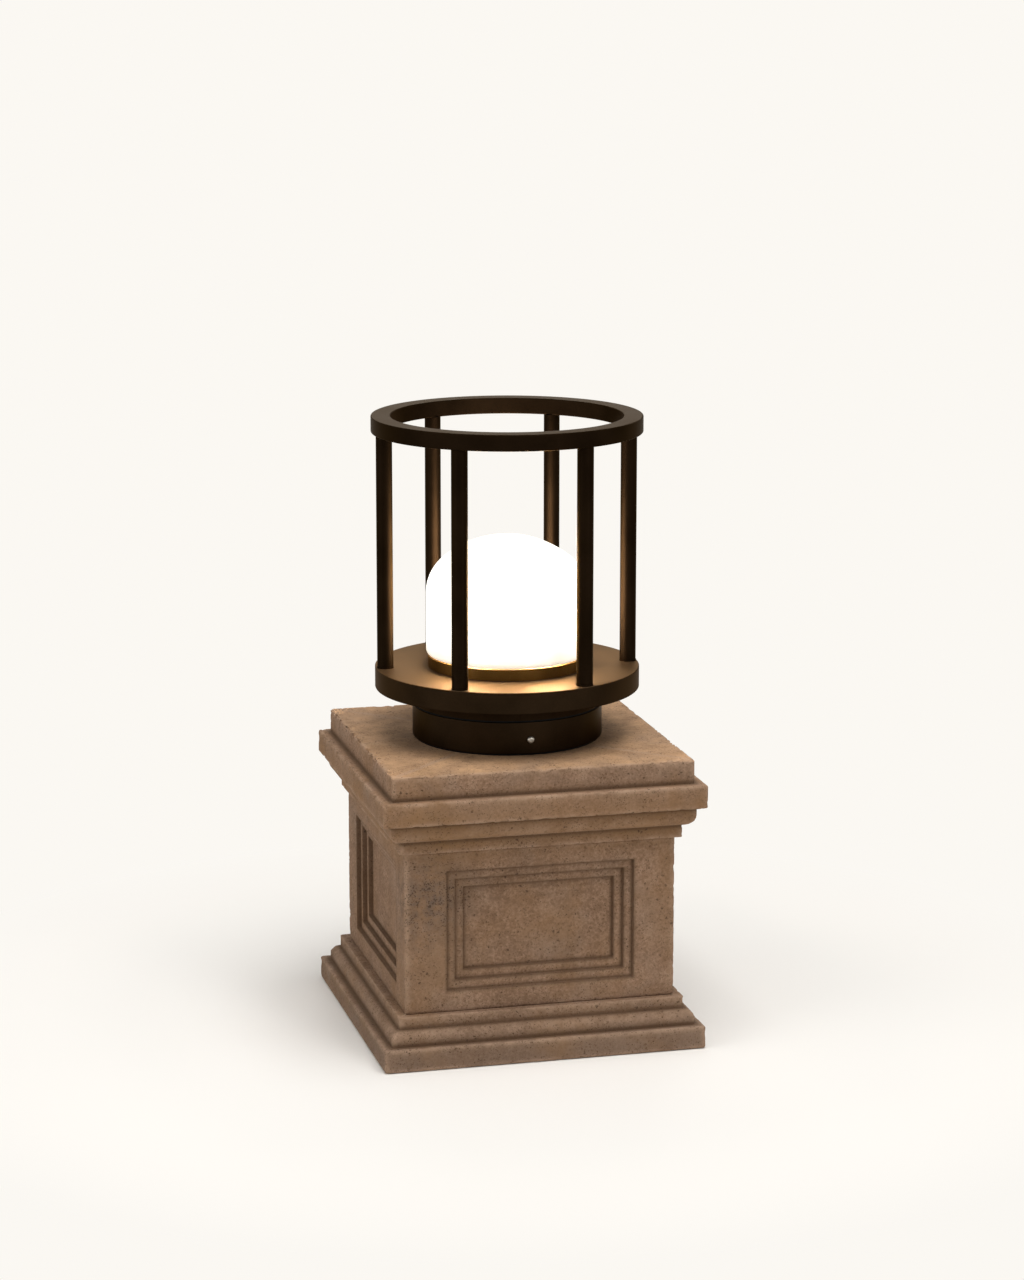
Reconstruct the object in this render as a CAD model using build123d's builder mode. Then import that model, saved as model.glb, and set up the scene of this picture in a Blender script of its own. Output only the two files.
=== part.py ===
from build123d import *
import os
from math import atan2, degrees, sqrt

# Pillar light: a round cage lantern with an opal glass dome, standing on a cast-stone pillar.
# Millimetres, +Z up. The origin is the middle of the pillar's underside, and -Y is the front.

# Pillar: the die, and how far each course above and below it stands out from the one it meets
die_size = 252.0
die_height = 150.0
plinth_height = 21.0
plinth_reach = 8.0
base_ovolo_height = 14.0
base_ovolo_reach = 8.5
base_fillet_height = 11.0
base_fillet_reach = 7.5
cap_fillet_height = 12.0
cap_fillet_reach = 5.5
cap_ovolo_height = 18.0
cap_ovolo_reach = 10.5
corona_height = 22.0
corona_reach = 8.0
slab_height = 22.0
slab_setback = 10.0
arris_radius = 3.0
core_radius = 20.0
entry_radius = 25.0

# Sunk panels on the four faces of the die
panel_side_margin = 38.5
panel_end_margin = 19.0
panel_band = 8.5
panel_step = 4.0
panel_steps = 3
panel_draft = 12.0

# Glass dome and the gallery ring that holds its neck
glass_radius = 75.0
glass_side = 52.0
glass_crown = 54.0
glass_turn = 42.0
glass_wall = 3.5
glass_shoulder = 5.0
glass_lift = 0.3
neck_wall = 4.0
neck_clearance = 0.5
gallery_setback = 1.5
gallery_wall = 6.5
gallery_height = 10.0
glass_gasket_thickness = 2.0
glass_gasket_lip = 0.5

# Fixing cup, bedded on the pillar's top
cup_margin = 13.0
cup_height = 29.5
cup_wall = 4.0
cup_floor = 4.0
cup_edge = 0.8
base_gasket_thickness = 1.5
base_gasket_setback = 2.0
base_gasket_opening = 16.0

# Deck casting: plate, rim, collar and the spigot that drops into the cup
deck_overhang = 34.5
deck_plate = 5.0
deck_rim_height = 20.0
deck_rim_wall = 4.0
deck_edge = 1.0
deck_opening_radius = 30.0
collar_height = 14.0
spigot_depth = 22.5
spigot_wall = 3.7
spigot_clearance = 0.3
seam_gasket_thickness = 1.5
seam_gasket_setback = 1.0
rib_thickness = 4.0
rib_height = 9.0
boss_radius = 7.5
boss_height = 8.0

# Cage: upright round bars between the deck and a flat top ring
bar_count = 6
bar_radius = 7.5
bar_length = 218.5
bar_inset = 9.0
bar_foot_radius = 7.9
bar_foot_height = 1.2
bar_tenon_radius = 4.5
bar_tenon_length = 8.0
bar_thread_depth = 15.0
ring_overhang = 2.5
ring_width = 18.0
ring_height = 15.0
ring_edge = 1.0
cage_turn = -6.0

# Fixings
thread_clearance = 0.05
hole_clearance = 0.2
tap_runout = 1.0
m3_radius = 1.5
m3_head_radius = 2.75
m3_head_height = 2.0
m4_radius = 2.0
m4_head_radius = 3.5
m4_head_height = 2.6
m6_radius = 3.0
m6_head_radius = 5.0
m6_head_height = 4.0
clamp_count = 3
clamp_height = 13.2
clamp_head_radius = 3.3
clamp_head_height = 2.2
clamp_head_gap = 0.3
gallery_screw_count = 3
gallery_thread_depth = 6.0
anchor_count = 3
anchor_circle_radius = 55.0
anchor_radius = 4.0
anchor_embedment = 50.0
anchor_stand = 4.5
anchor_washer_radius = 8.0
anchor_washer_thickness = 1.6
anchor_nut_width = 13.0
anchor_nut_height = 6.5

# Cable gland through the floor of the cup
gland_thread_radius = 10.0
gland_bore_radius = 7.6
gland_flange_width = 24.0
gland_flange_height = 8.0
gland_tail_radius = 9.2
gland_tail_length = 11.5
gland_nut_width = 23.0
gland_nut_lip = 6.0
gland_nut_opening = 6.0
gland_seal_bore = 4.5
gland_locknut_width = 26.0
gland_locknut_height = 5.0
gland_thread_stand = 2.0

# Earth screws, one in the cup and one under the deck
earth_boss_radius = 6.0
cup_earth_boss_height = 3.0
cup_earth_radius = 45.0
deck_earth_x = 36.0
deck_earth_y = 34.0
earth_thread_depth = 5.0
tag_thickness = 0.6
tag_radius = 5.0
tag_barrel_wall = 0.8
tag_barrel_length = 5.0
tag_barrel_gap = 1.0

# Strap under the deck that carries the lampholder
strap_width = 24.0
strap_thickness = 1.5
strap_half_span = 34.0
strap_foot = 18.0
strap_drop = 26.5
strap_thread_depth = 3.0

# Lampholder and lamp
holder_radius = 20.0
holder_height = 42.0
holder_floor = 11.5
holder_rim = 1.5
holder_screw_spacing = 24.0
holder_thread_depth = 7.0
holder_port_height = 6.5
holder_port_depth = 4.0
shell_radius = 14.3
shell_wall = 0.6
shell_height = 28.0
shell_clearance = 0.3
contact_width = 6.0
contact_length = 16.0
contact_thickness = 0.5
contact_rise = 3.5
lamp_gap = 0.5
lamp_cap_radius = 13.2
lamp_cap_height = 24.0
lamp_tip_radius = 4.5
lamp_tip_height = 1.2
lamp_insulator_radius = 8.0
lamp_insulator_height = 3.0
lamp_collar_radius = 14.5
lamp_body_height = 38.0
lamp_globe_radius = 30.0
lamp_globe_drop = 16.0
lamp_globe_wall = 1.5

# Terminal block and the leads between it and the lampholder
block_width = 34.0
block_depth = 20.0
block_height = 16.0
block_y = 52.0
block_edge = 1.0
port_pitch = 10.0
port_clearance = 0.3
insert_wall = 1.2
insert_length = 12.0
grub_setback = 0.5
grub_gap = 0.1
block_thread_depth = 3.0
lead_radius = 1.3
lead_entry = 9.0
lead_bend = 5.0
lead_slope = 2.0
lead_end_gap = 0.3

# Heights of the pillar's courses, from the ground up
base_ovolo_bottom = plinth_height
base_fillet_bottom = base_ovolo_bottom + base_ovolo_height
die_bottom = base_fillet_bottom + base_fillet_height
die_middle = die_bottom + die_height / 2
die_top = die_bottom + die_height
cap_ovolo_bottom = die_top + cap_fillet_height
corona_bottom = cap_ovolo_bottom + cap_ovolo_height
slab_bottom = corona_bottom + corona_height
pillar_top = slab_bottom + slab_height

# Plan sizes of the courses
base_fillet_size = die_size + 2 * base_fillet_reach
base_ovolo_size = base_fillet_size + 2 * base_ovolo_reach
plinth_size = base_ovolo_size + 2 * plinth_reach
cap_fillet_size = die_size + 2 * cap_fillet_reach
cap_ovolo_size = cap_fillet_size + 2 * cap_ovolo_reach
corona_size = cap_ovolo_size + 2 * corona_reach
slab_size = corona_size - 2 * slab_setback
panel_width = die_size - 2 * panel_side_margin
panel_height = die_height - 2 * panel_end_margin

# Heights of the lantern
cup_bottom = pillar_top + base_gasket_thickness
cup_floor_top = cup_bottom + cup_floor
cup_top = cup_bottom + cup_height
shoulder = cup_top + seam_gasket_thickness
spigot_bottom = shoulder - spigot_depth
rim_bottom = shoulder + collar_height
deck_top = rim_bottom + deck_rim_height
plate_bottom = deck_top - deck_plate
boss_bottom = plate_bottom - boss_height
ring_bottom = deck_top + bar_length
gallery_top = deck_top + gallery_height
neck_bottom = deck_top + glass_gasket_thickness
glass_bottom = gallery_top + glass_lift
crown_bottom = glass_bottom + glass_shoulder + glass_side

# Crown of the glass: a turn out of the side that runs into one flat cap
crown_gap = glass_crown - glass_turn
crown_drop = ((glass_radius - glass_turn) ** 2 - crown_gap ** 2) / (2 * crown_gap)
crown_radius = glass_crown + crown_drop
crown_angle = degrees(atan2(crown_drop, glass_radius - glass_turn))

# Radii of the lantern
gallery_radius = glass_radius - gallery_setback
gallery_inner_radius = gallery_radius - gallery_wall
gallery_screw_circle = gallery_radius - gallery_wall / 2
neck_radius = gallery_inner_radius - neck_clearance
cup_radius = glass_radius + cup_margin
cup_inner_radius = cup_radius - cup_wall
spigot_radius = cup_inner_radius - spigot_clearance
collar_inner_radius = spigot_radius - spigot_wall
deck_radius = cup_radius + deck_overhang
bar_circle_radius = deck_radius - bar_inset
ring_radius = deck_radius + ring_overhang
ring_inner_radius = ring_radius - ring_width

# Terminal block and earth tag, under the plate
block_front = block_y - block_depth / 2
block_bottom = plate_bottom - block_height
block_screw_y = block_y + block_depth / 2 - block_edge - m3_head_radius
port_z = plate_bottom - block_height / 2
port_radius = lead_radius + port_clearance
insert_radius = port_radius + insert_wall
grub_y = block_front + insert_length / 2
grub_bottom = block_bottom + grub_setback
grub_length = port_z - lead_radius - grub_gap - grub_bottom
tag_barrel_radius = lead_radius + thread_clearance + tag_barrel_wall
tag_top = port_z + tag_barrel_radius
tag_barrel_end = deck_earth_x - tag_radius - tag_barrel_gap
deck_earth_boss_height = plate_bottom - tag_top

on_floor = (Align.CENTER, Align.CENTER, Align.MIN)
hanging = (Align.CENTER, Align.CENTER, Align.MAX)

os.makedirs("parts", exist_ok=True)


def save(part, name):
    """Label one finished piece and write it to its own file."""
    part.label = name
    export_step(part, f"parts/{name}.step")


def course(size, height, foot_radius=0.0, head_radius=0.0, corner_radius=0.0):
    """One square course of stone, with rounded corners and a rounded foot or head."""
    with BuildPart() as stone:
        Box(size, size, height, align=on_floor)
        if corner_radius:
            fillet(stone.edges().filter_by(Axis.Z), corner_radius)
        if foot_radius:
            fillet(stone.edges().group_by(Axis.Z)[0], foot_radius)
        if head_radius:
            fillet(stone.edges().group_by(Axis.Z)[-1], head_radius)
    return stone.part


def screw(radius, length, head_radius, head_height):
    """A socket screw that points up: its shank rises from z = 0 and its head hangs below."""
    with BuildPart() as fastener:
        Cylinder(radius, length, align=on_floor)
        Cylinder(head_radius, head_height, align=hanging)
        fillet(fastener.edges().group_by(Axis.Z)[0], head_height / 3)
        with BuildSketch(Plane.XY.offset(-head_height)):
            RegularPolygon(radius * 0.9, 6)
        extrude(amount=head_height / 2, mode=Mode.SUBTRACT)
    return fastener.part


def washer(radius, inner_radius, thickness, bottom):
    """A flat ring lying on a plane at height bottom."""
    with BuildPart() as ring:
        with BuildSketch(Plane.XY.offset(bottom)):
            Circle(radius)
            Circle(inner_radius, mode=Mode.SUBTRACT)
        extrude(amount=thickness)
    return ring.part


def hex_nut(width, height, bore_radius, bottom):
    """A hexagon nut whose foot is at height bottom."""
    with BuildPart() as nut:
        with BuildSketch(Plane.XY.offset(bottom)):
            RegularPolygon(width / 2, 6, major_radius=False)
            Circle(bore_radius, mode=Mode.SUBTRACT)
        extrude(amount=height)
    return nut.part


# Base block: plinth, ovolo and fillet in one casting, cored for the supply conduit
with BuildPart() as pillar_base:
    add(course(plinth_size, plinth_height, arris_radius, arris_radius, arris_radius))
    with Locations((0, 0, base_ovolo_bottom)):
        add(course(base_ovolo_size, base_ovolo_height, head_radius=base_ovolo_reach))
    with Locations((0, 0, base_fillet_bottom)):
        add(course(base_fillet_size, base_fillet_height, corner_radius=arris_radius))
    with BuildSketch():
        Circle(entry_radius)
    extrude(amount=die_bottom, mode=Mode.SUBTRACT)
save(pillar_base.part, "pillar_base")

# Die: a square block with a stepped sunk panel on each face
with BuildPart() as pillar_die:
    with Locations((0, 0, die_bottom)):
        add(course(die_size, die_height, corner_radius=arris_radius))
    for turn in range(0, 360, 90):
        outward = Vector(0, -1, 0).rotate(Axis.Z, turn)
        face_middle = outward * (die_size / 2) + Vector(0, 0, die_middle)
        face = Plane(face_middle, x_dir=outward.rotate(Axis.Z, 90), z_dir=outward)
        for step in range(panel_steps):
            with BuildSketch(face.offset(-step * panel_step)):
                Rectangle(panel_width - 2 * step * panel_band, panel_height - 2 * step * panel_band)
            extrude(amount=-panel_step, taper=panel_draft, mode=Mode.SUBTRACT)
    with BuildSketch(Plane.XY.offset(die_bottom)):
        Circle(core_radius)
    extrude(amount=die_height, mode=Mode.SUBTRACT)
save(pillar_die.part, "pillar_die")

# Cap: fillet, ovolo, corona and top slab in one casting, drilled for the three anchors
with BuildPart() as pillar_cap:
    with Locations((0, 0, die_top)):
        add(course(cap_fillet_size, cap_fillet_height, corner_radius=arris_radius))
    with Locations((0, 0, cap_ovolo_bottom)):
        add(course(cap_ovolo_size, cap_ovolo_height, foot_radius=cap_ovolo_reach))
    with Locations((0, 0, corona_bottom)):
        add(course(corona_size, corona_height, arris_radius, arris_radius, arris_radius))
    with Locations((0, 0, slab_bottom)):
        add(course(slab_size, slab_height, head_radius=arris_radius, corner_radius=arris_radius))
    with BuildSketch(Plane.XY.offset(die_top)):
        Circle(core_radius)
    extrude(amount=pillar_top - die_top, mode=Mode.SUBTRACT)
    with BuildSketch(Plane.XY.offset(pillar_top)):
        with PolarLocations(anchor_circle_radius, anchor_count, start_angle=90):
            Circle(anchor_radius + hole_clearance)
    extrude(amount=-anchor_embedment - tap_runout, mode=Mode.SUBTRACT)
save(pillar_cap.part, "pillar_cap")

# Flat gasket between the stone and the fixing cup
with BuildPart() as base_gasket:
    with BuildSketch(Plane.XY.offset(pillar_top)):
        Circle(cup_radius - base_gasket_setback)
        Circle(base_gasket_opening, mode=Mode.SUBTRACT)
        with PolarLocations(anchor_circle_radius, anchor_count, start_angle=90):
            Circle(anchor_radius + hole_clearance, mode=Mode.SUBTRACT)
    extrude(amount=base_gasket_thickness)
save(base_gasket.part, "base_gasket")

# Fixing cup: a shallow aluminium pot with tapped clamp holes round its wall
with BuildPart() as base_cup:
    with BuildSketch(Plane.XZ):
        with BuildLine():
            Polyline((0, cup_bottom), (cup_radius, cup_bottom), (cup_radius, cup_top),
                     (cup_inner_radius, cup_top), (cup_inner_radius, cup_floor_top),
                     (0, cup_floor_top), close=True)
        make_face()
    revolve(axis=Axis.Z)
    outer_edges = base_cup.edges().filter_by(GeomType.CIRCLE).sort_by(SortBy.RADIUS)[-2:]
    fillet(outer_edges, cup_edge)
    with Locations((cup_earth_radius, 0, cup_floor_top)):
        Cylinder(earth_boss_radius, cup_earth_boss_height, align=on_floor)
    with BuildSketch(Plane.XY.offset(cup_floor_top + cup_earth_boss_height)):
        with Locations((cup_earth_radius, 0)):
            Circle(m4_radius + thread_clearance)
    extrude(amount=-earth_thread_depth - tap_runout, mode=Mode.SUBTRACT)
    with BuildSketch(Plane.XY.offset(cup_bottom)):
        Circle(gland_thread_radius + hole_clearance)
        with PolarLocations(anchor_circle_radius, anchor_count, start_angle=90):
            Circle(anchor_radius + hole_clearance)
    extrude(amount=cup_floor, mode=Mode.SUBTRACT)
    for clamp in range(clamp_count):
        outward = Vector(0, -1, 0).rotate(Axis.Z, clamp * 360 / clamp_count)
        with BuildSketch(Plane(Vector(0, 0, cup_bottom + clamp_height), z_dir=outward)):
            Circle(m4_radius + thread_clearance)
        extrude(amount=cup_radius + cup_wall, mode=Mode.SUBTRACT)
save(base_cup.part, "base_cup")

# Clamp screws: domed heads outside the cup, tips that bear on the head's spigot
clamp_names = ("clamp_screw_front", "clamp_screw_right", "clamp_screw_left")
clamp_seat = cup_radius + clamp_head_gap
for clamp, clamp_name in enumerate(clamp_names):
    outward = Vector(0, -1, 0).rotate(Axis.Z, clamp * 360 / clamp_count)
    head_middle = outward * clamp_seat + Vector(0, 0, cup_bottom + clamp_height)
    with BuildPart(Plane(head_middle, z_dir=outward)) as clamp_screw:
        Cylinder(m4_radius, clamp_seat - cup_inner_radius, align=hanging)
        Cylinder(clamp_head_radius, clamp_head_height, align=on_floor)
        head_rim = clamp_screw.edges().filter_by(GeomType.CIRCLE).sort_by(Axis(head_middle, outward))[-1]
        fillet(head_rim, clamp_head_height * 0.8)
    save(clamp_screw.part, clamp_name)

# Anchors: studs bonded into the cap, with a washer and a nut on the floor of the cup
anchor_nut_bottom = cup_floor_top + anchor_washer_thickness
anchor_top = anchor_nut_bottom + anchor_nut_height + anchor_stand
with BuildPart() as anchor_studs:
    with PolarLocations(anchor_circle_radius, anchor_count, start_angle=90):
        with Locations((0, 0, pillar_top - anchor_embedment)):
            Cylinder(anchor_radius, anchor_top - pillar_top + anchor_embedment, align=on_floor)
save(anchor_studs.part, "anchor_studs")

anchor_bore = anchor_radius + thread_clearance
with BuildPart() as anchor_washers:
    with PolarLocations(anchor_circle_radius, anchor_count, start_angle=90):
        add(washer(anchor_washer_radius, anchor_bore, anchor_washer_thickness, cup_floor_top))
save(anchor_washers.part, "anchor_washers")

with BuildPart() as anchor_nuts:
    with PolarLocations(anchor_circle_radius, anchor_count, start_angle=90):
        add(hex_nut(anchor_nut_width, anchor_nut_height, anchor_bore, anchor_nut_bottom))
save(anchor_nuts.part, "anchor_nuts")

# Cable gland: body under the cup's floor, clamping nut below it and a locknut inside the cup
gland_flange_bottom = cup_bottom - gland_flange_height
gland_tail_bottom = gland_flange_bottom - gland_tail_length
gland_thread_top = cup_floor_top + gland_locknut_height + gland_thread_stand
with BuildPart() as cable_gland:
    with BuildSketch(Plane.XY.offset(gland_flange_bottom)):
        RegularPolygon(gland_flange_width / 2, 6, major_radius=False)
    extrude(amount=gland_flange_height)
    with BuildSketch(Plane.XY.offset(gland_flange_bottom)):
        Circle(gland_thread_radius)
    extrude(amount=gland_thread_top - gland_flange_bottom)
    with BuildSketch(Plane.XY.offset(gland_tail_bottom)):
        Circle(gland_tail_radius)
    extrude(amount=gland_tail_length)
    with BuildSketch(Plane.XY.offset(gland_tail_bottom)):
        Circle(gland_bore_radius)
    extrude(amount=gland_thread_top - gland_tail_bottom, mode=Mode.SUBTRACT)
save(cable_gland.part, "cable_gland")

with BuildPart() as gland_nut:
    with BuildSketch(Plane.XY.offset(gland_tail_bottom - gland_nut_lip)):
        RegularPolygon(gland_nut_width / 2, 6, major_radius=False)
        Circle(gland_nut_opening, mode=Mode.SUBTRACT)
    extrude(amount=gland_nut_lip + gland_tail_length - tap_runout)
    with BuildSketch(Plane.XY.offset(gland_tail_bottom)):
        Circle(gland_tail_radius + thread_clearance)
    extrude(amount=gland_tail_length, mode=Mode.SUBTRACT)
save(gland_nut.part, "gland_nut")

gland_seal = washer(gland_bore_radius - thread_clearance, gland_seal_bore,
                    gland_tail_length, gland_tail_bottom)
save(gland_seal, "gland_seal")

gland_locknut = hex_nut(gland_locknut_width, gland_locknut_height,
                        gland_thread_radius + thread_clearance, cup_floor_top)
save(gland_locknut, "gland_locknut")

# Earth screw in the cup, head up on its boss
with BuildPart() as cup_earth_screw:
    with Locations(Location((cup_earth_radius, 0, cup_floor_top + cup_earth_boss_height), (180, 0, 0))):
        add(screw(m4_radius, earth_thread_depth, m4_head_radius, m4_head_height))
save(cup_earth_screw.part, "cup_earth_screw")

# Deck casting: a flat plate with a deep rim, a collar and a spigot, ribbed underneath
with BuildPart() as lamp_deck:
    with BuildSketch(Plane.XZ):
        with BuildLine():
            Polyline((deck_opening_radius, deck_top), (deck_radius, deck_top), (deck_radius, rim_bottom),
                     (deck_radius - deck_rim_wall, rim_bottom), (deck_radius - deck_rim_wall, plate_bottom),
                     (cup_radius, plate_bottom), (cup_radius, shoulder), (spigot_radius, shoulder),
                     (spigot_radius, spigot_bottom), (collar_inner_radius, spigot_bottom),
                     (collar_inner_radius, plate_bottom), (deck_opening_radius, plate_bottom), close=True)
        make_face()
    revolve(axis=Axis.Z)
    outer_edges = lamp_deck.edges().filter_by(GeomType.CIRCLE).sort_by(SortBy.RADIUS)[-2:]
    fillet(outer_edges, deck_edge)
    with PolarLocations(bar_circle_radius, bar_count, start_angle=cage_turn):
        with Locations((0, 0, boss_bottom)):
            Cylinder(boss_radius, boss_height, align=on_floor)
    rib_length = deck_radius - deck_rim_wall / 2 - cup_radius + cup_wall / 2
    rib_middle = (deck_radius - deck_rim_wall / 2 + cup_radius - cup_wall / 2) / 2
    with PolarLocations(rib_middle, bar_count, start_angle=cage_turn + 180 / bar_count):
        with Locations((0, 0, plate_bottom)):
            Box(rib_length, rib_thickness, rib_height, align=hanging)
    with Locations((deck_earth_x, deck_earth_y, plate_bottom)):
        Cylinder(earth_boss_radius, deck_earth_boss_height, align=hanging)
    with BuildSketch(Plane.XY.offset(tag_top)):
        with Locations((deck_earth_x, deck_earth_y)):
            Circle(m4_radius + thread_clearance)
    extrude(amount=earth_thread_depth + tap_runout, mode=Mode.SUBTRACT)
    with BuildSketch(Plane.XY.offset(boss_bottom)):
        with PolarLocations(bar_circle_radius, bar_count, start_angle=cage_turn):
            Circle(m6_radius + hole_clearance)
    extrude(amount=deck_top - boss_bottom, mode=Mode.SUBTRACT)
    with BuildSketch(Plane.XY.offset(plate_bottom)):
        with PolarLocations(gallery_screw_circle, gallery_screw_count, start_angle=-90):
            Circle(m4_radius + hole_clearance)
    extrude(amount=deck_plate, mode=Mode.SUBTRACT)
    with BuildSketch(Plane.XY.offset(plate_bottom)):
        with GridLocations(2 * strap_half_span + strap_foot, 0, 2, 1):
            Circle(m4_radius + thread_clearance)
    extrude(amount=strap_thread_depth + tap_runout, mode=Mode.SUBTRACT)
    with BuildSketch(Plane.XY.offset(plate_bottom)):
        with Locations((0, block_screw_y)):
            Circle(m3_radius + thread_clearance)
    extrude(amount=block_thread_depth + tap_runout, mode=Mode.SUBTRACT)
save(lamp_deck.part, "lamp_deck")

# Soft ring in the seam between the cup and the collar
seam_gasket = washer(cup_radius - seam_gasket_setback, spigot_radius + spigot_clearance,
                     seam_gasket_thickness, cup_top)
save(seam_gasket, "seam_gasket")

# Cage bars: round bars tapped at the foot, with a short tenon that enters the ring
for number, place in enumerate(PolarLocations(bar_circle_radius, bar_count, start_angle=cage_turn)):
    with BuildPart(Plane.XY.offset(deck_top).moved(Location(place.position))) as cage_bar:
        Cylinder(bar_radius, bar_length, align=on_floor)
        Cylinder(bar_foot_radius, bar_foot_height, align=on_floor)
        with Locations((0, 0, bar_length)):
            Cylinder(bar_tenon_radius, bar_tenon_length, align=on_floor)
        Cylinder(m6_radius + thread_clearance, bar_thread_depth + tap_runout,
                 align=on_floor, mode=Mode.SUBTRACT)
    save(cage_bar.part, f"cage_bar_{number + 1}")

# Top ring: a flat hoop with eased edges and a blind socket over each bar
with BuildPart() as cage_ring:
    with BuildSketch(Plane.XY.offset(ring_bottom)):
        Circle(ring_radius)
        Circle(ring_inner_radius, mode=Mode.SUBTRACT)
    extrude(amount=ring_height)
    fillet(cage_ring.edges().filter_by(GeomType.CIRCLE), ring_edge)
    with BuildSketch(Plane.XY.offset(ring_bottom)):
        with PolarLocations(bar_circle_radius, bar_count, start_angle=cage_turn):
            Circle(bar_tenon_radius + thread_clearance)
    extrude(amount=bar_tenon_length + tap_runout, mode=Mode.SUBTRACT)
save(cage_ring.part, "cage_ring")

# Screws that pull the bars down on the deck
with BuildPart() as bar_screws:
    with PolarLocations(bar_circle_radius, bar_count, start_angle=cage_turn):
        with Locations((0, 0, boss_bottom)):
            add(screw(m6_radius, boss_height + deck_plate + bar_thread_depth, m6_head_radius, m6_head_height))
save(bar_screws.part, "bar_screws")

# Gallery: the ring that the glass neck screws into, held from under the deck
with BuildPart() as glass_gallery:
    with BuildSketch(Plane.XY.offset(deck_top)):
        Circle(gallery_radius)
        Circle(gallery_inner_radius, mode=Mode.SUBTRACT)
    extrude(amount=gallery_height)
    with BuildSketch(Plane.XY.offset(deck_top)):
        with PolarLocations(gallery_screw_circle, gallery_screw_count, start_angle=-90):
            Circle(m4_radius + thread_clearance)
    extrude(amount=gallery_thread_depth + tap_runout, mode=Mode.SUBTRACT)
save(glass_gallery.part, "glass_gallery")

with BuildPart() as gallery_screws:
    with PolarLocations(gallery_screw_circle, gallery_screw_count, start_angle=-90):
        with Locations((0, 0, plate_bottom)):
            add(screw(m4_radius, deck_plate + gallery_thread_depth, m4_head_radius, m4_head_height))
save(gallery_screws.part, "gallery_screws")

# Soft ring under the neck of the glass
neck_inner_radius = neck_radius - neck_wall
glass_gasket = washer(neck_radius, neck_inner_radius - glass_gasket_lip, glass_gasket_thickness, deck_top)
save(glass_gasket, "glass_gasket")

# Opal glass dome: straight side, flattened crown and a narrow neck
inner_shoulder = glass_shoulder - glass_wall
with BuildPart() as glass_dome:
    with BuildSketch(Plane.XZ):
        with BuildLine():
            Polyline((neck_inner_radius, glass_bottom + glass_wall), (neck_inner_radius, neck_bottom),
                     (neck_radius, neck_bottom), (neck_radius, glass_bottom),
                     (glass_radius - glass_shoulder, glass_bottom))
            CenterArc((glass_radius - glass_shoulder, glass_bottom + glass_shoulder), glass_shoulder, -90, 90)
            Line((glass_radius, glass_bottom + glass_shoulder), (glass_radius, crown_bottom))
            CenterArc((glass_radius - glass_turn, crown_bottom), glass_turn, 0, crown_angle)
            CenterArc((0, crown_bottom - crown_drop), crown_radius, crown_angle, 90 - crown_angle)
            Line((0, crown_bottom + glass_crown), (0, crown_bottom + glass_crown - glass_wall))
            CenterArc((0, crown_bottom - crown_drop), crown_radius - glass_wall,
                      crown_angle, 90 - crown_angle)
            CenterArc((glass_radius - glass_turn, crown_bottom), glass_turn - glass_wall, 0, crown_angle)
            Line((glass_radius - glass_wall, crown_bottom),
                 (glass_radius - glass_wall, glass_bottom + glass_shoulder))
            CenterArc((glass_radius - glass_shoulder, glass_bottom + glass_shoulder), inner_shoulder, -90, 90)
            Line((glass_radius - glass_shoulder, glass_bottom + glass_wall),
                 (neck_inner_radius, glass_bottom + glass_wall))
        make_face()
    revolve(axis=Axis.Z)
save(glass_dome.part, "glass_dome")

# Strap: a bent strip screwed under the plate, with the lampholder on its floor
strap_floor_top = plate_bottom - strap_drop + strap_thickness
strap_floor_bottom = plate_bottom - strap_drop
with BuildPart() as holder_strap:
    with BuildSketch(Plane.XZ.offset(-strap_width / 2)):
        with BuildLine():
            Polyline((-strap_half_span - strap_foot, plate_bottom), (-strap_half_span, plate_bottom),
                     (-strap_half_span, strap_floor_top), (strap_half_span, strap_floor_top),
                     (strap_half_span, plate_bottom), (strap_half_span + strap_foot, plate_bottom),
                     (strap_half_span + strap_foot, plate_bottom - strap_thickness),
                     (strap_half_span + strap_thickness, plate_bottom - strap_thickness),
                     (strap_half_span + strap_thickness, strap_floor_bottom),
                     (-strap_half_span - strap_thickness, strap_floor_bottom),
                     (-strap_half_span - strap_thickness, plate_bottom - strap_thickness),
                     (-strap_half_span - strap_foot, plate_bottom - strap_thickness), close=True)
        make_face()
    extrude(amount=strap_width)
    with BuildSketch(Plane.XY.offset(strap_floor_bottom)):
        with GridLocations(holder_screw_spacing, 0, 2, 1):
            Circle(m4_radius + hole_clearance)
    extrude(amount=strap_thickness, mode=Mode.SUBTRACT)
    with BuildSketch(Plane.XY.offset(plate_bottom)):
        with GridLocations(2 * strap_half_span + strap_foot, 0, 2, 1):
            Circle(m4_radius + hole_clearance)
    extrude(amount=-strap_thickness, mode=Mode.SUBTRACT)
save(holder_strap.part, "holder_strap")

with BuildPart() as strap_screws:
    with GridLocations(2 * strap_half_span + strap_foot, 0, 2, 1):
        with Locations((0, 0, plate_bottom - strap_thickness)):
            add(screw(m4_radius, strap_thickness + strap_thread_depth, m4_head_radius, m4_head_height))
save(strap_screws.part, "strap_screws")

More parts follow.
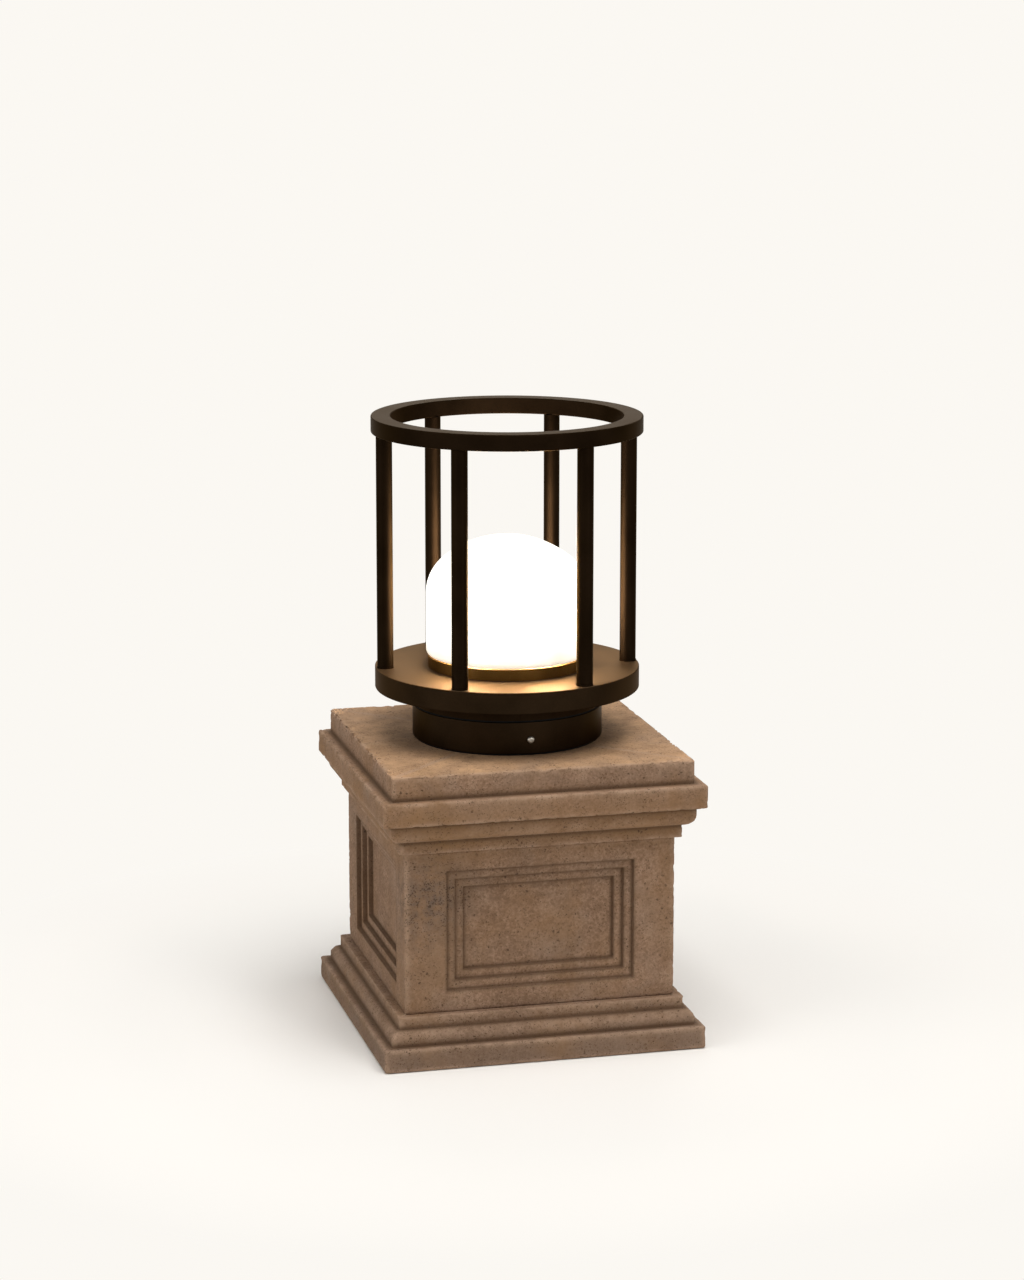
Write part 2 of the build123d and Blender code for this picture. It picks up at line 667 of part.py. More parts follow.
# Lampholder: a ceramic pot with a threaded shell, a sprung contact and two wire ports
holder_bottom = strap_floor_top
holder_well = holder_bottom + holder_floor
holder_top = holder_bottom + holder_height
holder_port_z = holder_bottom + holder_port_height
with BuildPart() as lampholder:
    with Locations((0, 0, holder_bottom)):
        Cylinder(holder_radius, holder_height, align=on_floor)
    fillet(lampholder.edges().group_by(Axis.Z)[-1], holder_rim)
    with BuildSketch(Plane.XY.offset(holder_well)):
        Circle(shell_radius + shell_clearance)
    extrude(amount=holder_height, mode=Mode.SUBTRACT)
    with BuildSketch(Plane.XY.offset(holder_bottom)):
        with GridLocations(holder_screw_spacing, 0, 2, 1):
            Circle(m4_radius + thread_clearance)
    extrude(amount=holder_thread_depth + tap_runout, mode=Mode.SUBTRACT)
    for port_x in (-port_pitch, 0):
        port_floor = sqrt(holder_radius ** 2 - port_x ** 2) - holder_port_depth
        with BuildSketch(Plane((port_x, port_floor, holder_port_z), z_dir=(0, 1, 0))):
            Circle(port_radius)
        extrude(amount=holder_radius, mode=Mode.SUBTRACT)
save(lampholder.part, "lampholder")

holder_shell = washer(shell_radius, shell_radius - shell_wall, shell_height, holder_well)
save(holder_shell, "holder_shell")

with BuildPart() as holder_contact:
    with BuildSketch(Plane.XZ.offset(-contact_width / 2)):
        with BuildLine():
            Polyline((-contact_length / 2, holder_well), (0, holder_well),
                     (contact_length / 2, holder_well + contact_rise),
                     (contact_length / 2, holder_well + contact_rise + contact_thickness),
                     (0, holder_well + contact_thickness),
                     (-contact_length / 2, holder_well + contact_thickness), close=True)
        make_face()
    extrude(amount=contact_width)
save(holder_contact.part, "holder_contact")

with BuildPart() as holder_screws:
    with GridLocations(holder_screw_spacing, 0, 2, 1):
        with Locations((0, 0, strap_floor_bottom)):
            add(screw(m4_radius, strap_thickness + holder_thread_depth, m4_head_radius, m4_head_height))
save(holder_screws.part, "holder_screws")

# Lamp: screw cap, flared body and a round diffuser
lamp_tip_bottom = holder_well + contact_rise + contact_thickness + lamp_gap
lamp_insulator_bottom = lamp_tip_bottom + lamp_tip_height
lamp_cap_bottom = lamp_insulator_bottom + lamp_insulator_height
lamp_cap_top = lamp_cap_bottom + lamp_cap_height
lamp_body_top = lamp_cap_top + lamp_body_height
lamp_neck_radius = sqrt(lamp_globe_radius ** 2 - lamp_globe_drop ** 2)
globe_inner_radius = lamp_globe_radius - lamp_globe_wall
globe_middle = lamp_body_top + lamp_globe_drop
with BuildPart() as lamp_cap:
    with BuildSketch(Plane.XZ):
        with BuildLine():
            Polyline((0, lamp_tip_bottom), (lamp_tip_radius, lamp_tip_bottom),
                     (lamp_tip_radius, lamp_insulator_bottom), (lamp_insulator_radius, lamp_insulator_bottom),
                     (lamp_cap_radius, lamp_cap_bottom), (lamp_cap_radius, lamp_cap_top),
                     (0, lamp_cap_top), close=True)
        make_face()
    revolve(axis=Axis.Z)
save(lamp_cap.part, "lamp_cap")

with BuildPart() as lamp_body:
    with BuildSketch(Plane.XZ):
        with BuildLine():
            Line((0, lamp_body_top), (0, lamp_cap_top))
            Line((0, lamp_cap_top), (lamp_collar_radius, lamp_cap_top))
            flare = TangentArc((lamp_collar_radius, lamp_cap_top), (lamp_neck_radius, lamp_body_top),
                               tangent=(0, 1))
            Line(flare @ 1, (0, lamp_body_top))
        make_face()
    revolve(axis=Axis.Z)
save(lamp_body.part, "lamp_body")

with BuildPart() as lamp_globe:
    with Locations((0, 0, globe_middle)):
        Sphere(lamp_globe_radius)
        Sphere(globe_inner_radius, mode=Mode.SUBTRACT)
    split(bisect_by=Plane.XY.offset(lamp_body_top), keep=Keep.TOP)
save(lamp_globe.part, "lamp_globe")

# Terminal block under the plate, with three ways and one fixing screw
port_xs = (-port_pitch, 0, port_pitch)
with BuildPart() as terminal_block:
    with Locations((0, block_y, plate_bottom)):
        Box(block_width, block_depth, block_height, align=hanging)
    fillet(terminal_block.edges().filter_by(Axis.Z), block_edge)
    with BuildSketch(Plane.XZ.offset(-block_front)):
        with Locations(*[(port_x, port_z) for port_x in port_xs]):
            Circle(insert_radius + thread_clearance)
    extrude(amount=-insert_length, mode=Mode.SUBTRACT)
    with BuildSketch(Plane.XY.offset(block_bottom)):
        with Locations(*[(port_x, grub_y) for port_x in port_xs]):
            Circle(m3_radius + hole_clearance)
    extrude(amount=block_height / 2, mode=Mode.SUBTRACT)
    with BuildSketch(Plane.XY.offset(block_bottom)):
        with Locations((0, block_screw_y)):
            Circle(m3_radius + hole_clearance)
    extrude(amount=block_height, mode=Mode.SUBTRACT)
save(terminal_block.part, "terminal_block")

with BuildPart() as terminal_inserts:
    with BuildSketch(Plane.XZ.offset(-block_front)):
        with Locations(*[(port_x, port_z) for port_x in port_xs]):
            Circle(insert_radius)
            Circle(port_radius, mode=Mode.SUBTRACT)
    extrude(amount=-insert_length)
    with BuildSketch(Plane.XY.offset(block_bottom)):
        with Locations(*[(port_x, grub_y) for port_x in port_xs]):
            Circle(m3_radius + thread_clearance)
    extrude(amount=block_height / 2, mode=Mode.SUBTRACT)
save(terminal_inserts.part, "terminal_inserts")

with BuildPart() as terminal_screws:
    with BuildSketch(Plane.XY.offset(grub_bottom)):
        with Locations(*[(port_x, grub_y) for port_x in port_xs]):
            Circle(m3_radius)
    extrude(amount=grub_length)
save(terminal_screws.part, "terminal_screws")

with BuildPart() as block_screw:
    with Locations((0, block_screw_y, block_bottom)):
        add(screw(m3_radius, block_height + block_thread_depth, m3_head_radius, m3_head_height))
save(block_screw.part, "block_screw")

# Live and neutral leads, from the terminal block down into the lampholder's ports
lead_start = block_front + lead_entry
for lead_name, lead_x in (("lead_live", -port_pitch), ("lead_neutral", 0)):
    holder_face = sqrt(holder_radius ** 2 - lead_x ** 2)
    middle = (block_front + holder_face) / 2
    with BuildPart() as lead:
        with BuildLine(Plane.YZ.offset(lead_x)):
            FilletPolyline((lead_start, port_z), (middle + lead_slope, port_z),
                           (middle - lead_slope, holder_port_z),
                           (holder_face - holder_port_depth + lead_end_gap, holder_port_z), radius=lead_bend)
        with BuildSketch(Plane((lead_x, lead_start, port_z), z_dir=(0, -1, 0))):
            Circle(lead_radius)
        sweep()
    save(lead.part, lead_name)

# Earth lead, crimped in a ring tag that a screw holds on the deck's earth boss
with BuildPart() as lead_earth:
    with BuildLine(Plane.XY.offset(port_z)):
        FilletPolyline((port_pitch, lead_start), (port_pitch, deck_earth_y),
                       (tag_barrel_end, deck_earth_y), radius=lead_bend)
    with BuildSketch(Plane((port_pitch, lead_start, port_z), z_dir=(0, -1, 0))):
        Circle(lead_radius)
    sweep()
save(lead_earth.part, "lead_earth")

with BuildPart() as earth_tag:
    with BuildSketch(Plane.XY.offset(tag_top)):
        with Locations((deck_earth_x, deck_earth_y)):
            Circle(tag_radius)
        with Locations((tag_barrel_end, deck_earth_y)):
            Rectangle(2 * tag_barrel_gap + tag_radius, 2 * tag_barrel_radius)
        with Locations((deck_earth_x, deck_earth_y)):
            Circle(m4_radius + hole_clearance, mode=Mode.SUBTRACT)
    extrude(amount=-tag_thickness)
    with BuildSketch(Plane((tag_barrel_end, deck_earth_y, port_z), z_dir=(-1, 0, 0))):
        Circle(tag_barrel_radius)
    extrude(amount=tag_barrel_length)
    with BuildSketch(Plane((tag_barrel_end, deck_earth_y, port_z), z_dir=(-1, 0, 0))):
        Circle(lead_radius + thread_clearance)
    extrude(amount=tag_barrel_length, mode=Mode.SUBTRACT)
save(earth_tag.part, "earth_tag")

with BuildPart() as deck_earth_screw:
    with Locations((deck_earth_x, deck_earth_y, tag_top - tag_thickness)):
        add(screw(m4_radius, tag_thickness + earth_thread_depth, m4_head_radius, m4_head_height))
save(deck_earth_screw.part, "deck_earth_screw")
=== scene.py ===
import math
import bmesh
import bpy
import numpy as np
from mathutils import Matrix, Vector, noise


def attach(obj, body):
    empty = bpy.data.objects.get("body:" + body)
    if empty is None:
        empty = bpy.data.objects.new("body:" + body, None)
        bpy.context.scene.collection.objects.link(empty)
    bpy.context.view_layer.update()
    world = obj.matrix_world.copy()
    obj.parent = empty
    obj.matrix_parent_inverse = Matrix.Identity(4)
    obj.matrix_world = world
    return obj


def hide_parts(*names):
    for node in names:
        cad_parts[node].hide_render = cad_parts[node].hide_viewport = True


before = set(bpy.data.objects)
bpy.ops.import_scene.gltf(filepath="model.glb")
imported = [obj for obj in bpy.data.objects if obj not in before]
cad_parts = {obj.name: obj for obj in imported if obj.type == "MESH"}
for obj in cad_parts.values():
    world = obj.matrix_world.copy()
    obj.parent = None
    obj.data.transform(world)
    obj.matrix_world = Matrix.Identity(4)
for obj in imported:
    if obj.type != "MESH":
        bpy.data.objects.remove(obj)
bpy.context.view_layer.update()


# Pillar: three blocks of cast stone, bedded one on another. Crushed limestone and cement are tamped
# into moulds, so the faces are matt and finely pitted. Years outdoors have nicked the arrises, most
# of all along the left edge of the top slab.
stone_mid = (0.252, 0.152, 0.094, 1)
stone_pale = (0.330, 0.212, 0.138, 1)
stone_dark = (0.176, 0.104, 0.062, 1)
stone_worn = (0.375, 0.252, 0.170, 1)
stone_top_lit = (0.560, 0.335, 0.172, 1)
stone_dirt_and_shade = (0.094, 0.052, 0.027, 1)
stone_stain = (0.120, 0.086, 0.064, 1)
stone_grey = (0.235, 0.160, 0.112, 1)
stone_ochre_and_shade = (0.222, 0.120, 0.053, 1)
stone_pit = (0.060, 0.036, 0.022, 1)
damp_place = (-0.106, -0.126, 0.150)
damp_reach = 0.054
splash_height = 0.065
ledge_shade_rise = (0.175, 0.205)
ledge_shade_fade = (0.228, 0.258)
top_light_rise = (0.258, 0.268)
chip_depth = 0.0042
chip_reach = 0.0036
chip_noise = (0.05, 0.45)
nick_noise = (0.10, 0.55)
chipped_edges = ((0.140, 0.270, 1.0), (0.150, 0.248, 0.35))
left_edge = 0.006
other_edges = 0.35
stone_spacing = 0.0021
corner_radius = 0.002
arris_reach = 0.0024
hollow_shade_reach = 0.0030
full_bend = 1.1
bite_depth = 0.00025
nick_depth = 0.0004
sway_depth = 0.0002
sway_scale = 70.0
nick_scale = 170.0
bed_level = 0.0006
conduit_radius = 0.025
core_radius = 0.020
base_corners = (
    (0.1400, 0.000, 0.0), (0.1500, 0.000, 0.002), (0.1500, 0.021, 0.002), (0.1420, 0.021, 0.0),
    (0.1420, 0.035, 0.0085), (0.1335, 0.035, 0.0), (0.1335, 0.046, 0.0008), (0.1240, 0.046, 0.0))
cap_corners = (
    (0.1220, 0.196, 0.0), (0.1315, 0.196, 0.0008), (0.1315, 0.208, 0.0), (0.1420, 0.208, 0.0105),
    (0.1420, 0.226, 0.0), (0.1500, 0.226, 0.002), (0.1500, 0.248, 0.002), (0.1400, 0.248, 0.0),
    (0.1400, 0.270, 0.002), (0.0700, 0.270, 0.0))
rounding_points = 7
corner_points = 6
moulded_columns = 138
line_gap = 0.0005
same_point = 1e-6
hole_share = 0.98
stone_sharp = math.radians(48)
die_half = 0.126
die_bottom = 0.046
die_top = 0.196
die_middle = (die_bottom + die_top) / 2
die_ease = 0.0008
panel_width = 0.175
panel_height = 0.112
panel_band = 0.0085
panel_step = 0.004
panel_steps = 3
panel_slant = 0.00085
panel_arris = 0.0012
panel_crease = 0.0016
panel_wear = 0.45


class Value:
    """One output in a node tree. Python's operators on it add Math nodes."""

    def __init__(self, tree, socket):
        self.tree = tree
        self.socket = socket

    @staticmethod
    def node(tree, kind, settings=None, inputs=None, output=0):
        """Any node: its type, its settings, then the values or links of its sockets."""
        made = tree.nodes.new(kind)
        for key, setting in (settings or {}).items():
            if key == "stops":
                ramp = made.color_ramp.elements
                while len(ramp) < len(setting):
                    ramp.new(1.0)
                for element, (place, colour) in zip(ramp, setting):
                    element.position = place
                    element.color = colour
            else:
                setattr(made, key, setting)
        for key, given in (inputs or {}).items():
            for one in given if isinstance(given, list) else [given]:
                if isinstance(one, Value):
                    tree.links.new(one.socket, made.inputs[key])
                else:
                    made.inputs[key].default_value = one
        return Value(tree, made.outputs[output]) if made.outputs else made

    def math(self, operation, first, second=None):
        inputs = {0: first} if second is None else {0: first, 1: second}
        return Value.node(self.tree, "ShaderNodeMath", {"operation": operation}, inputs)

    def __add__(self, other):
        return self.math("ADD", self, other)

    def __sub__(self, other):
        return self.math("SUBTRACT", self, other)

    def __mul__(self, other):
        return self.math("MULTIPLY", self, other)

    def __truediv__(self, other):
        return self.math("DIVIDE", self, other)

    def __radd__(self, other):
        return self.math("ADD", other, self)

    def __rsub__(self, other):
        return self.math("SUBTRACT", other, self)

    def __rmul__(self, other):
        return self.math("MULTIPLY", other, self)

    def __rtruediv__(self, other):
        return self.math("DIVIDE", other, self)

    def __lt__(self, other):
        return self.math("LESS_THAN", self, other)

    def __gt__(self, other):
        return self.math("GREATER_THAN", self, other)

    def ramp(self, low, high):
        """0 at low, 1 at high and clamped in between."""
        return Value.node(self.tree, "ShaderNodeMapRange", {"clamp": True},
                          {"Value": self, "From Min": low, "From Max": high})


class Finish:
    """One material: a Principled surface, with object-space patterns to drive it."""

    def __init__(self, name, **constants):
        self.material = bpy.data.materials.new(name)
        self.material.use_nodes = True
        self.tree = self.material.node_tree
        self.surface = self.tree.nodes["Principled BSDF"]
        for key, constant in constants.items():
            self.surface.inputs[key.replace("_", " ")].default_value = constant
        self.place = self.node("ShaderNodeTexCoord", output="Object")

    def node(self, kind, settings=None, inputs=None, output=0):
        return Value.node(self.tree, kind, settings, inputs, output)

    def height(self):
        return self.node("ShaderNodeSeparateXYZ", None, {0: self.place}, 2)

    def noise(self, scale, detail=2.0, roughness=0.5, distortion=0.0):
        inputs = {"Vector": self.place, "Scale": scale, "Detail": detail, "Roughness": roughness,
                  "Distortion": distortion}
        return self.node("ShaderNodeTexNoise", None, inputs)

    def cells(self, scale, place):
        return self.node("ShaderNodeTexVoronoi", None, {"Vector": place, "Scale": scale}, "Distance")

    def attribute(self, name):
        return self.node("ShaderNodeAttribute", {"attribute_name": name}, None, "Fac")

    def mix(self, first, second, share):
        return self.node("ShaderNodeMix", {"data_type": "RGBA"}, {"Factor": share, 6: first, 7: second}, 2)

    def colours(self, share, *stops):
        return self.node("ShaderNodeValToRGB", {"stops": stops}, {"Fac": share})

    def bump(self, height, distance, strength):
        inputs = {"Height": height, "Distance": distance, "Strength": strength}
        return self.node("ShaderNodeBump", None, inputs)

    def drive(self, **sockets):
        """Link what varies to the surface's sockets, and give the finished material."""
        for key, value in sockets.items():
            self.tree.links.new(value.socket, self.surface.inputs[key.replace("_", " ")])
        return self.material


def cast_stone():
    """Grained stone with pits, flecks, pale arrises, damp and splashes; dirt and painted shade in its
    hollows, painted shade under the corona and painted light on the slab's top.
    """
    stone = Finish("cast_stone", Specular_IOR_Level=0.2)
    broad = stone.noise(7.0, 2.0)
    patches = stone.noise(44.0, 5.0, 0.70)
    grain = stone.noise(380.0, 4.0, 0.75)
    tone = broad * 0.30 + patches * 0.52 + grain * 0.98 - 0.40
    colour = stone.colours(tone, (0.34, stone_dark), (0.50, stone_mid), (0.68, stone_pale))
    wander = stone.node("ShaderNodeTexNoise", None, {"Vector": stone.place, "Scale": 420.0}, "Color")
    wander = stone.node("ShaderNodeVectorMath", {"operation": "SCALE"}, {0: wander, "Scale": 0.004})
    ragged = stone.node("ShaderNodeVectorMath", {"operation": "ADD"}, {0: stone.place, 1: wander})
    holes = (stone.cells(150.0, ragged) < 0.16) * stone.noise(31.0, 2.0).ramp(0.50, 0.56)
    specks = (stone.cells(330.0, ragged) < 0.25) * stone.noise(55.0, 2.0).ramp(0.40, 0.54)
    stains = stone.noise(11.0, 4.0, 0.7, 0.4).ramp(0.55, 0.72) * patches.ramp(0.30, 0.62)
    damp = stone.node("ShaderNodeVectorMath", {"operation": "DISTANCE"}, {0: stone.place, 1: damp_place}, 1)
    damp = (1 - damp.ramp(0.006, damp_reach)) * stone.noise(95.0, 4.0, 0.7).ramp(0.36, 0.60)
    flecks = stone.cells(480.0, ragged) < 0.22 + damp * 0.24
    flecks = flecks * (stone.noise(80.0, 2.0).ramp(0.42, 0.54) + damp)
    blots = stone.noise(125.0, 4.0, 0.6, 0.5).ramp(0.56, 0.66)
    greys = stone.noise(16.0, 3.0, 0.6).ramp(0.48, 0.66)
    height = stone.height()
    splash = 1 - height.ramp(0.0, splash_height)
    # Painted shade: a band from the top of the die up through the cap's mouldings, under the corona, is
    # painted darker and warmer; the ochre patches mixed with it are the stone's own tone.
    painted_ledge_shade = height.ramp(*ledge_shade_rise) * (1 - height.ramp(*ledge_shade_fade))
    ochres_and_shade = stone.noise(13.0, 3.0, 0.6, 0.3).ramp(0.47, 0.64) * 0.40 + painted_ledge_shade * 0.52
    worn = stone.attribute("wear") * patches.ramp(0.30, 0.62)
    # Painted light: faces turned up at the top of the slab are painted paler and warmer, as if lamplit.
    washed = stone.attribute("washed") * (0.20 + patches * 0.95).ramp(0.3, 1.0)
    colour = stone.mix(colour, stone_top_lit, washed)
    colour = stone.mix(colour, stone_stain, splash * (0.36 + patches * 0.46))
    colour = stone.mix(colour, stone_grey, greys * 0.40)
    colour = stone.mix(colour, stone_ochre_and_shade, ochres_and_shade)
    colour = stone.mix(colour, stone_dark, blots * 0.28)
    colour = stone.mix(colour, stone_stain, stains * 0.42)
    colour = stone.mix(colour, stone_stain, damp * 0.90)
    colour = stone.mix(colour, stone_worn, worn * 0.64)
    # Dirt and painted shade: the creases of the mouldings and of the panel's steps are darkened, partly as
    # dirt and partly as painted shade.
    colour = stone.mix(colour, stone_dirt_and_shade, stone.attribute("hollow") * 0.80)
    colour = stone.mix(colour, stone_dirt_and_shade, specks * 0.55)
    colour = stone.mix(colour, stone_pit, flecks.ramp(0.0, 1.0) * 0.80)
    colour = stone.mix(colour, stone_pit, holes * 0.70)
    relief = grain * 0.35 + patches * 0.50 - holes * 0.8 - specks * 0.4
    return stone.drive(Base_Color=colour, Roughness=0.98 - patches * 0.18,
                       Normal=stone.bump(relief, 0.0009, 0.7))


def eased_profile(corners):
    """A moulding's outline, from its corners: (reach from the axis, height, rounding), up the outside."""
    outline = []
    for number, (reach, height, rounding) in enumerate(corners):
        before = corners[number - 1] if number else (core_radius, height, 0)
        after = corners[number + 1] if number + 1 < len(corners) else (core_radius, height, 0)
        here = np.array((reach, height))
        back = np.array(before[:2]) - here
        on = np.array(after[:2]) - here
        back, on = back / np.linalg.norm(back), on / np.linalg.norm(on)
        for turn in np.linspace(0, math.pi / 2, rounding_points if rounding else 1):
            outline.append(here + rounding * (back * (1 - math.sin(turn)) + on * (1 - math.cos(turn))))
    filled = [outline[0]]
    for spot in outline[1:]:
        gap = np.linalg.norm(spot - filled[-1])
        if gap > same_point:
            pieces = max(1, math.ceil(gap / stone_spacing))
            start = filled[-1]
            filled += [start + (spot - start) * step / pieces for step in range(1, pieces + 1)]
    return np.array(filled)


def profile_bends(outline, reach):
    """How near each point of an outline is to an arris (first) or to a hollow (second)."""
    runs = np.diff(outline, axis=0)
    along = np.concatenate(([0], np.cumsum(np.linalg.norm(runs, axis=1))))
    heading = np.unwrap(np.arctan2(runs[:, 1], runs[:, 0]))
    turns = np.concatenate(([0], np.diff(heading), [0]))
    near = np.exp(-((along[:, None] - along[None, :]) / reach) ** 2)
    outer, inner = near @ np.maximum(turns, 0), near @ np.maximum(-turns, 0)
    return np.clip(outer / full_bend, 0, 1), np.clip(inner / full_bend, 0, 1)


def die_lines(extent, limit):
    """Grid lines across a face of the die: even ones, and one on each edge of the panel's steps."""
    edges = [extent / 2 - step * panel_band for step in range(panel_steps)]
    keys = [edge - slant for edge in edges for slant in (0, panel_slant)]
    keys = np.array([-limit, limit] + keys + [-key for key in keys])
    even = np.linspace(-limit, limit, round(2 * limit / stone_spacing))
    clear = np.abs(even[:, None] - keys[None, :]).min(axis=1) > line_gap
    return np.sort(np.concatenate((even[clear], keys)))


def square_columns(shares):
    """Columns round a square block: outward and sideways directions, share of the side, and corner turn."""
    columns = []
    for side in range(4):
        outward = (round(math.sin(side * math.pi / 2)), -round(math.cos(side * math.pi / 2)))
        sideways = (-outward[1], outward[0])
        columns += [(*outward, *sideways, share, 0.0) for share in shares]
        turns = np.linspace(0, math.pi / 2, corner_points)[1:-1]
        columns += [(*outward, *sideways, 1.0, turn) for turn in turns]
    return np.array(columns)


def square_block(name, outline, columns, hole, sunk=None):
    """A square block with rounded corners, a moulded outline and a round hole down its middle."""
    outward, sideways, share, turn = columns[:, 0:2], columns[:, 2:4], columns[:, 4:5], columns[:, 5:6]
    inset = corner_radius * (1 - np.cos(turn))
    rows, wear, hollow = [], [], []
    arris = profile_bends(outline, arris_reach)[0]
    # How near each point is to a crease, where the stone is darkened with dirt and painted shade.
    groove = profile_bends(outline, hollow_shade_reach)[1]
    for number, (reach, height) in enumerate(outline):
        run = share * (reach - corner_radius) + corner_radius * np.sin(turn)
        plan = outward * (reach - inset) + sideways * run
        side_gap = np.where(turn > 0, 0, (1 - np.abs(share)) * (reach - corner_radius))[:, 0]
        edge = np.maximum(arris[number], np.exp(-(side_gap / arris_reach) ** 2))
        crease = np.full(len(columns), groove[number])
        if sunk:
            depth, sunk_edge, sunk_crease = sunk(run[:, 0], height)
            plan = plan - outward * depth[:, None]
            edge, crease = np.maximum(edge, sunk_edge), np.maximum(crease, sunk_crease)
        rows.append(np.column_stack((plan, np.full(len(columns), height))))
        wear.append(edge)
        hollow.append(crease)
    bearing = np.arctan2(*(outward + sideways * share * hole_share)[:, ::-1].T)
    bearing += turn[:, 0] * (1 - 4 / math.pi * math.atan(hole_share))
    ring = hole * np.column_stack((np.cos(bearing), np.sin(bearing)))
    for height in (outline[-1][1], outline[0][1]):
        rows.append(np.column_stack((ring, np.full(len(columns), height))))
        wear.append(np.zeros(len(columns)))
        hollow.append(np.zeros(len(columns)))
    tall, wide = len(rows), len(columns)
    faces = [(row * wide + column, row * wide + (column + 1) % wide,
              (row + 1) % tall * wide + (column + 1) % wide, (row + 1) % tall * wide + column)
             for row in range(tall) for column in range(wide)]
    mesh = bpy.data.meshes.new(name)
    mesh.from_pydata(np.concatenate(rows), [], faces)
    mesh.update()
    block = bpy.data.objects.new(name, mesh)
    bpy.context.scene.collection.objects.link(block)
    return block, np.concatenate(wear), np.concatenate(hollow)


def weather(block, wear, hollow):
    """Bite, nick and chip the arrises, let the faces sway, and keep where the stone is worn, where its
    hollows get dirt and painted shade, and where the slab's top gets painted light.
    """
    mesh = block.data
    size = len(mesh.vertices)
    places, normals = np.empty(size * 3), np.empty(size * 3)
    mesh.vertices.foreach_get("co", places)
    mesh.vertices.foreach_get("normal", normals)
    places, normals = places.reshape(-1, 3), normals.reshape(-1, 3)
    broad = np.array([noise.noise(Vector(place) * sway_scale) for place in places])
    fine = np.array([noise.fractal(Vector(place) * nick_scale, 0.7, 2.1, 3) for place in places])
    side, height = np.abs(places[:, :2]).max(axis=1), places[:, 2]
    chipped = np.interp(broad * 0.55 + fine * 0.75, chip_noise, (0, 1))
    nicks = np.interp(fine, nick_noise, (0, 1))
    sink = wear * (bite_depth * chipped + nick_depth * nicks) + sway_depth * (0.5 + 0.5 * broad)
    exposed = np.where(-places[:, 0] > side - left_edge, 1.0, other_edges)
    for edge_reach, edge_height, share in chipped_edges:
        gap = np.hypot(side - edge_reach, height - edge_height)
        sink += share * exposed * chip_depth * chipped * np.exp(-(gap / chip_reach) ** 2)
    sink[height < bed_level] = 0
    mesh.vertices.foreach_set("co", (places - normals * sink[:, None]).ravel())
    # Painted light: how far each point on the slab's top faces up, where the stone is painted paler and
    # warmer.
    washed = np.clip(normals[:, 2], 0, 1) * np.interp(height, top_light_rise, (0, 1))
    for name, values in (("wear", wear), ("hollow", hollow), ("washed", washed)):
        mesh.attributes.new(name, "FLOAT", "POINT").data.foreach_set("value", values)
    mesh.shade_smooth()
    mesh.set_sharp_from_angle(angle=stone_sharp)
    mesh.update()


def sunk_panel(run, height):
    """Depth of a stepped panel at points along one row of the die, and how near they are to its edges."""
    depth, edge, crease = np.zeros_like(run), np.zeros_like(run), np.zeros_like(run)
    for step in range(panel_steps):
        inside = np.minimum(panel_width / 2 - step * panel_band - np.abs(run),
                            panel_height / 2 - step * panel_band - abs(height - die_middle))
        depth += panel_step * np.clip(inside / panel_slant, 0, 1)
        edge = np.maximum(edge, np.exp(-(inside / panel_arris) ** 2))
        # The panel's creases are darkened with dirt and painted shade.
        crease = np.maximum(crease, np.exp(-((inside - panel_slant) / panel_crease) ** 2))
    return depth, edge * panel_wear, crease


moulded_shares = np.linspace(-1, 1, moulded_columns)
die_shares = die_lines(panel_width, die_half - corner_radius) / (die_half - corner_radius)
die_rows = die_lines(panel_height, (die_top - die_bottom) / 2 - die_ease) + die_middle
die_outline = np.array([(die_half - die_ease, die_bottom)] + [(die_half, row) for row in die_rows]
                       + [(die_half - die_ease, die_top)])
stone_finish = cast_stone()
for node, outline, shares, hole, sunk in (
        ("pillar_base", eased_profile(base_corners), moulded_shares, conduit_radius, None),
        ("pillar_die", die_outline, die_shares, core_radius, sunk_panel),
        ("pillar_cap", eased_profile(cap_corners), moulded_shares, core_radius, None)):
    block, wear, hollow = square_block(node + "_stone", outline, square_columns(shares), hole, sunk)
    weather(block, wear, hollow)
    block.data.materials.append(stone_finish)
    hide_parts(node)
    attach(block, "pillar")


# Fixing cup: a spun aluminium pot, finished a satin dark bronze. It sits on a flat gasket on the
# stone and takes the head's spigot, and its floor is held down by the anchors.
bronze_dark = (0.0125, 0.0073, 0.0036, 1)
bronze_warm = (0.0225, 0.0132, 0.0066, 1)
bronze_edge = (0.60, 0.55, 0.50, 1)
lit_top_fade = 0.0006
metal_sharp = math.radians(32)


def dark_bronze(name, roughness, dark=bronze_dark, warm=bronze_warm, edge=bronze_edge, lit_top=None):
    """The coat on all the metalwork. The last argument gives a height above which the coat is painted in
    two brighter colours, a painted lamplit sheen.
    """
    coat = Finish(name, Metallic=1.0, Specular_Tint=edge)
    cloud = coat.noise(26.0, 3.0)
    leather = coat.noise(950.0, 2.0, 0.6)
    tone = cloud * 0.65 + leather * 0.35
    colour = coat.colours(tone, (0.36, dark), (0.66, warm))
    if lit_top:
        level, lit_dark, lit_warm = lit_top
        # Above the level the coat is painted brighter and browner: a painted lamplit sheen.
        lit_top_share = coat.height().ramp(level - lit_top_fade, level)
        colour = coat.mix(colour, coat.colours(tone, (0.36, lit_dark), (0.66, lit_warm)), lit_top_share)
    return coat.drive(Base_Color=colour, Roughness=roughness - 0.07 + cloud * 0.08 + leather * 0.06,
                      Normal=coat.bump(leather, 0.00005, 0.5))


def evaluated(piece):
    """Turn a piece and its modifiers into one plain mesh."""
    graph = bpy.context.evaluated_depsgraph_get()
    mesh = bpy.data.meshes.new_from_object(piece.evaluated_get(graph))
    piece.modifiers.clear()
    piece.data = mesh
    return piece


